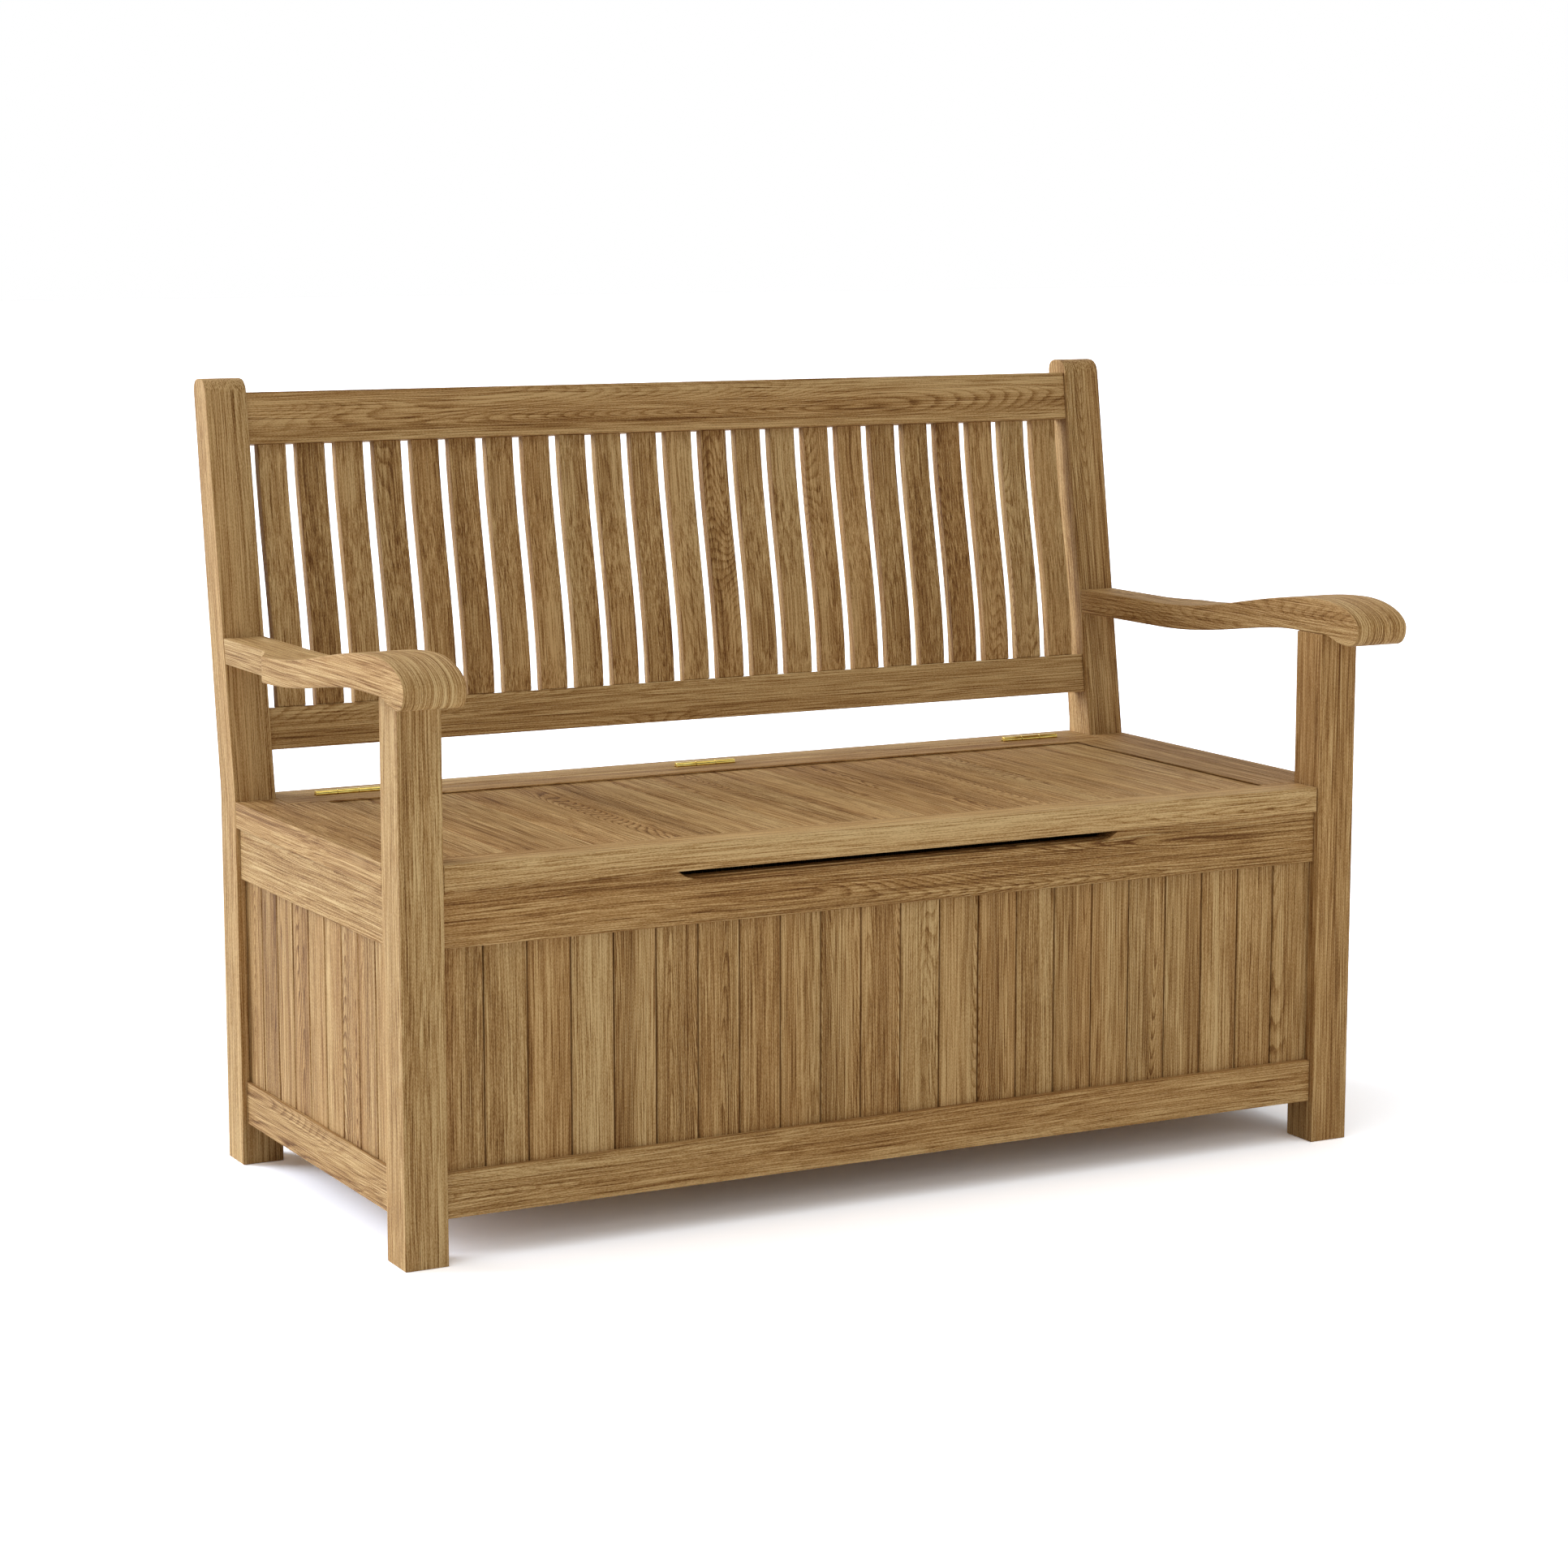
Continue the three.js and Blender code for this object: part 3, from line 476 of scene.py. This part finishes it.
def arm(side):
    """An armrest with its true curves. The grain follows its top round the scrolled nose."""
    hand = "left" if side < 0 else "right"
    node = hand + "_armrest"
    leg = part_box(f"front_{hand}_leg")
    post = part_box(f"rear_{hand}_post")
    low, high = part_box(node)
    far = 0 if side < 0 else 1              # which corner of a box is away from the middle
    inner, outer = abs(leg[1 - far][X]), abs(leg[far][X])
    wide = abs((low, high)[far][X])

    front, post_front = leg[0][Y], post[0][Y]
    tip, crest = low[Y], high[Z]
    rest = crest - 41 * MM                  # underside, on the leg's shoulder
    rear_top, rear_bottom = rest + 5 * MM, rest - 25 * MM
    nose, scroll = rest + 11 * MM, rest - 9.5 * MM
    level = post_front - 156 * MM           # behind this the arm is straight
    sweep = level - (front + 50 * MM)
    lean_foot = rest - 182.5 * MM

    def at_post(z):
        return post_front + (z - lean_foot) * LEAN - 0.2 * MM

    def y(distance):
        return front + distance * MM

    # The outer side narrows towards the post: (half-width, y) along it, from the front.
    flare_start, flare_end = post_front - 154 * MM, post_front - 97 * MM
    flare = [(wide, flare_start), *bezier(
        (wide, flare_start), (wide - 8 * MM, flare_start + 16 * MM),
        (outer, flare_end - 18 * MM), (outer, flare_end), 14)]

    # The profile (y, z): forwards over the top, round the nose, and back underneath.
    outline = [(at_post(rear_bottom), rear_bottom), (at_post(rear_top), rear_top)]
    outline += [(v, rear_top) for _, v in reversed(flare)] + [(level, rear_top)]
    outline += bezier((level, rear_top), (level - 0.44 * sweep, rear_top),
                      (y(50) + 0.24 * sweep, crest), (y(8), crest), 40)
    outline += bezier((y(8), crest), (y(-32), crest), (tip, crest - 13.5 * MM), (tip, nose), 22)
    outline += bezier((tip, nose), (tip, nose - 10 * MM), (y(-64), scroll), (y(-50), scroll), 16)
    outline += bezier((y(-50), scroll), (y(-24), scroll), (y(-14), rest), (y(-1), rest), 16)
    outline += [(y(58), rest)]
    outline += bezier((y(58), rest), (y(50) + 0.29 * sweep, rest),
                      (level - 0.41 * sweep, rear_bottom), (level, rear_bottom), 40)
    outline += [(v, rear_bottom) for _, v in flare]

    half_widths = {round(v, 6): w for w, v in flare}

    def outside(v):
        return wide if v <= flare_start else half_widths.get(round(v, 6), outer)

    n, k = len(outline), len(flare)
    vertices = [(side * inner, v, z) for v, z in outline]
    vertices += [(side * outside(v), v, z) for v, z in outline]
    faces = [[i, (i + 1) % n, n + (i + 1) % n, n + i] for i in range(n)]
    upper = [n + i for i in range(2, 2 + k)]                    # the flare, from its rear end
    lower = [n + i for i in range(n - 1, n - 1 - k, -1)]        # the same below
    faces += [list(range(n)), list(range(upper[-1], lower[-1] + 1))]
    faces += [[upper[i], upper[i + 1], lower[i + 1], lower[i]] for i in range(k - 1)]
    faces += [[lower[0], n, n + 1, upper[0]]]
    piece = add_mesh(node + "_shaped", vertices, outward(vertices, faces), TEAK_BENT)

    # Distance round the profile stands for length on the faces that bend with it.
    run = [0.0]
    for (a, b), (c, d) in zip(outline, outline[1:] + outline[:1]):
        run.append(run[-1] + math.hypot(c - a, d - b))
    values = []
    for polygon in piece.data.polygons:
        flat = abs(polygon.normal.x) > 0.4
        closing = {0, n - 1} <= {i % n for i in polygon.vertices}
        for i in polygon.vertices:
            x, v, z = piece.data.vertices[i].co
            if flat:
                values += [x, v, z]
            else:
                values += [x, -(run[n] if closing and i % n == 0 else run[i % n]), 0.3 * side]
    grain = piece.data.attributes.new("grain", "FLOAT_VECTOR", "CORNER")
    grain.data.foreach_set("vector", values)
    ease(piece, 1.6 * MM, 40, segments=3, clamp=False)
    stand_for(piece, node, "frame")


arm(-1)
arm(1)


# ---- Hinges ---------------------------------------------------------------------------------

LEAF = 2 * MM                       # thickness
LEAF_CLEAR = 0.2 * MM               # between a leaf and the plane through the pin
KNUCKLE_GAP = 0.25 * MM             # at each knuckle's end
PIN_RADIUS = 1.9 * MM
BORE_RADIUS = 2.0 * MM
SCREW_RADIUS = 3.1 * MM


def lathe_x(profile, centre, sides=40, closed=False):
    """A solid of revolution about a line along X. profile is (x, radius) from end to end, or
    round a ring's section when closed."""
    vertices = []
    for x, radius in profile:
        for k in range(sides):
            turn = 2 * math.pi * k / sides
            vertices.append((x, centre[Y] + radius * math.cos(turn),
                             centre[Z] + radius * math.sin(turn)))
    faces = bands(len(profile), sides)
    last = (len(profile) - 1) * sides
    if closed:
        faces += [[last + k, last + (k + 1) % sides, (k + 1) % sides, k] for k in range(sides)]
    else:
        faces += [list(range(sides)), [last + k for k in range(sides)]]
    return vertices, faces


def knuckle(x0, x1, radius, bore=0.0, soft=0.35 * MM):
    """A rolled knuckle on the hinge line with softened ends, bored for its pin when bore is
    given."""
    bored = [(x0, bore), (x1, bore)] if bore else []
    rim = [(x0, radius - soft), (x0 + soft * 0.3, radius - soft * 0.3), (x0 + soft, radius),
           (x1 - soft, radius), (x1 - soft * 0.3, radius - soft * 0.3), (x1, radius - soft)]
    return lathe_x(bored[:1] + rim + bored[1:], HINGE_LINE, closed=bool(bore))


def screw_head(x, y, z, facing):
    """A countersunk head with its slot, standing in the leaf's face."""
    sides, half = 28, 14
    slot, sunk = 0.45 * MM, 0.4 * MM
    rise = 0.12 * MM
    inner, top = SCREW_RADIUS * 0.6, rise * 1.35
    rings = [(SCREW_RADIUS, 0.0), (SCREW_RADIUS * 0.97, rise), (inner, top)]
    vertices = []
    for r, h in rings:
        for k in range(sides):
            turn = 2 * math.pi * (k + 0.5) / sides
            vertices.append((x + r * math.cos(turn), y + facing * h, z + r * math.sin(turn)))
    faces = bands(len(rings), sides) + [list(range(sides))]

    # Two half-moons with the slot sunk between them. The slot's corners are named by the side
    # that they lie on, below or above, and by their end, left or right.
    last, base = (len(rings) - 1) * sides, len(vertices)
    reach = math.sqrt(inner ** 2 - slot ** 2)
    for height in (facing * top, -facing * sunk):
        vertices += [(x + end * reach, y + height, z + sign * slot)
                     for sign in (-1, 1) for end in (-1, 1)]
    below_l, below_r, above_l, above_r = range(base, base + 4)
    foot_below_l, foot_below_r, foot_above_l, foot_above_r = range(base + 4, base + 8)
    upper = [last + k for k in range(half)]
    lower = [last + half + k for k in range(half)]
    faces += [
        [above_r] + upper + [above_l],
        [below_l] + lower + [below_r],
        [above_l, foot_above_l, foot_above_r, above_r],
        [below_l, foot_below_l, foot_below_r, below_r],
        [foot_below_l, foot_above_l, foot_above_r, foot_below_r],
        [below_l, above_l, foot_above_l, foot_below_l],
        [below_r, above_r, foot_above_r, foot_below_r],
        [above_l, below_l, lower[0], upper[-1]],
        [below_r, above_r, upper[0], lower[-1]],
    ]
    return vertices, faces


def leaf(node, fixed):
    """A hinge leaf with its knuckles and screws. The fixed one, on the rear strip, has the two
    outer knuckles and the pin, and the lid's has the middle one."""
    low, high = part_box(node)
    x0, x1 = low[X], high[X]
    middle, sixth = (x0 + x1) / 2, (x1 - x0) / 6
    facing = 1 if fixed else -1             # the leaf lies on this side of the pin
    radius = high[Z] - HINGE_LINE.z
    near = HINGE_LINE.y + facing * LEAF_CLEAR
    far = near + facing * LEAF
    foot = low[Z]
    bore = 0.0 if fixed else BORE_RADIUS
    if fixed:
        barrels = [(x0, middle - sixth - KNUCKLE_GAP), (middle + sixth + KNUCKLE_GAP, x1)]
    else:
        barrels = [(middle - sixth + KNUCKLE_GAP, middle + sixth - KNUCKLE_GAP)]

    # The plate is whole below the knuckles, and reaches up only to its own.
    waist = HINGE_LINE.z - radius - 0.7 * MM
    crest = HINGE_LINE.z - (bore + 0.1 * MM if bore else 0.0)
    outline = [(x0, foot), (x1, foot), (x1, waist)]
    for a, b in reversed(barrels):
        outline += [(b, waist), (b, crest), (a, crest), (a, waist)]
    outline.append((x0, waist))
    outline = [p for i, p in enumerate(outline) if p != outline[i - 1]]
    parts = [prism(outline, (min(near, far), max(near, far)), (X, Z, Y))]
    parts += [knuckle(a, b, radius, bore) for a, b in barrels]
    if fixed:
        parts.append(knuckle(x0 + 1 * MM, x1 - 1 * MM, PIN_RADIUS, soft=0.2 * MM))
    parts += [screw_head(middle + k * 0.34 * (x1 - x0), near, foot + 9 * MM, -facing)
              for k in (-1, 0, 1)]
    piece = add_mesh(node + "_turned", *gather(parts), BRASS)
    ease(piece, 0.15 * MM, 50)
    stand_for(piece, node, "frame" if fixed else "lid")


for i in (1, 2, 3):
    leaf(f"hinge_{i}_fixed_leaf", True)
    leaf(f"hinge_{i}_lid_leaf", False)


# ---- Floor, light and camera ----------------------------------------------------------------

FLOOR_REACH = 40.0
FLOOR_SEEN = (1.862, 1.9, 1.957, 1.0)   # the floor's colour to the camera, white in this light
AMBIENT = (0.12, 0.58)                  # the world's light, at the horizon and overhead


def seen_directly(t):
    """1 for what the camera, a gloss or a clear surface sees, and 0 for light on the object."""
    path = t.add("ShaderNodeLightPath").outputs
    either = t.math("ADD", path["Is Camera Ray"], path["Is Glossy Ray"], clamp=True)
    return t.math("ADD", either, path["Is Transmission Ray"], clamp=True)


def floor():
    """A plain pale floor that keeps the object's shadow."""
    t = new_material("floor")
    place = t.add("ShaderNodeTexCoord").outputs["Object"]
    speck = t.noise(t.vector("MULTIPLY", place, (30.0, 30.0, 30.0)), 3.0)
    pale = t.ramp(speck, [(0.0, grey(0.78)), (1.0, grey(0.82))])
    plain = t.add("ShaderNodeBsdfDiffuse", {"Color": pale})
    bright = t.add("ShaderNodeBsdfDiffuse", {"Color": FLOOR_SEEN})
    mixed = t.add("ShaderNodeMixShader", {
        0: seen_directly(t), 1: plain.outputs[0], 2: bright.outputs[0],
    })
    r = FLOOR_REACH
    piece = add_mesh("floor", [(-r, -r, 0), (r, -r, 0), (r, r, 0), (-r, r, 0)], [[0, 1, 2, 3]],
                     t.finish(mixed.outputs[0]))


def studio():
    """Soft light from all round, stronger from above, and plain white where seen directly."""
    t = Tree(bpy.data.worlds.new("studio"))
    place = t.add("ShaderNodeTexCoord").outputs["Generated"]
    height = t.add("ShaderNodeSeparateXYZ", {0: place}).outputs["Z"]
    sky = t.span(height, 0.0, 1.0, *AMBIENT)
    strength = t.add("ShaderNodeMix", {"Factor": seen_directly(t), "A": sky, "B": 1.0})
    white = t.add("ShaderNodeBackground", {
        "Color": grey(1.0), "Strength": strength.outputs["Result"],
    })
    bpy.context.scene.world = t.finish(white.outputs[0], "ShaderNodeOutputWorld")


def flag(centre, width, height):
    """A dark card over the bench that only the polished metal reflects."""
    t = new_material("flag")
    mottled = t.noise(t.add("ShaderNodeTexCoord").outputs["Object"], 2.0)
    cloth = t.add("ShaderNodeBsdfDiffuse", {
        "Color": t.ramp(mottled, [(0.0, (0.01, 0.02, 0.02, 1)), (1.0, (0.03, 0.04, 0.04, 1))]),
    })
    x, y, z = centre
    w, h = width / 2, height / 2
    card = add_mesh("flag", [(x - w, y, z - h), (x + w, y, z - h),
                             (x + w, y + h, z + h), (x - w, y + h, z + h)],
                    [[0, 1, 2, 3]], t.finish(cloth.outputs[0]))
    card.visible_camera = card.visible_diffuse = False
    card.visible_shadow = card.visible_transmission = False


def add_lamp(name, light, facing):
    """A lamp in the scene. facing points from what it lights to the lamp."""
    lamp = bpy.data.objects.new(name, light)
    lamp.rotation_euler = facing.to_track_quat("Z", "Y").to_euler()
    bpy.context.scene.collection.objects.link(lamp)
    return lamp


def panel(name, place, target, power, size):
    """A soft lamp near the object, out of the camera's sight."""
    light = bpy.data.lights.new(name, "AREA")
    light.shape = "RECTANGLE"
    light.size, light.size_y = size
    light.energy = power
    lamp = add_lamp(name, light, Vector(place) - Vector(target))
    lamp.location = place
    lamp.visible_camera = lamp.visible_glossy = False


def sun(name, towards, strength, softness, colour=(1, 1, 1)):
    """A soft lamp of one direction. towards points from the object to the lamp, and softness
    is the angle that it fills."""
    light = bpy.data.lights.new(name, "SUN")
    light.energy = strength
    light.angle = math.radians(softness)
    light.color = colour
    add_lamp(name, light, Vector(towards))


floor()
studio()
sun("key", (-1.0, 0.95, 0.50), strength=2.75, softness=40, colour=(0.98, 1.05, 1.20))
sun("top", (-0.25, -0.20, 1.0), strength=0.58, softness=70)
panel("front_right", (0.75, -1.20, 0.55), (0.35, -0.2, 0.50), power=1.75, size=(0.8, 0.5))
panel("front_left", (-0.55, -1.20, 0.55), (-0.35, -0.2, 0.50), power=1.2, size=(0.8, 0.5))
flag((2.0, -3.0, 2.3), width=9.0, height=1.3)

data = bpy.data.cameras.new("camera")
data.lens = 84.354
data.sensor_width = 36.0
data.clip_end = 200.0
camera = bpy.data.objects.new("camera", data)
camera.location = (-2.0185, -3.7699, 1.1095)
camera.rotation_euler = (math.radians(90 - 8.899), 0.0, math.radians(-28.006))
bpy.context.scene.collection.objects.link(camera)
bpy.context.scene.camera = camera
bpy.context.scene.view_settings.view_transform = "Standard"
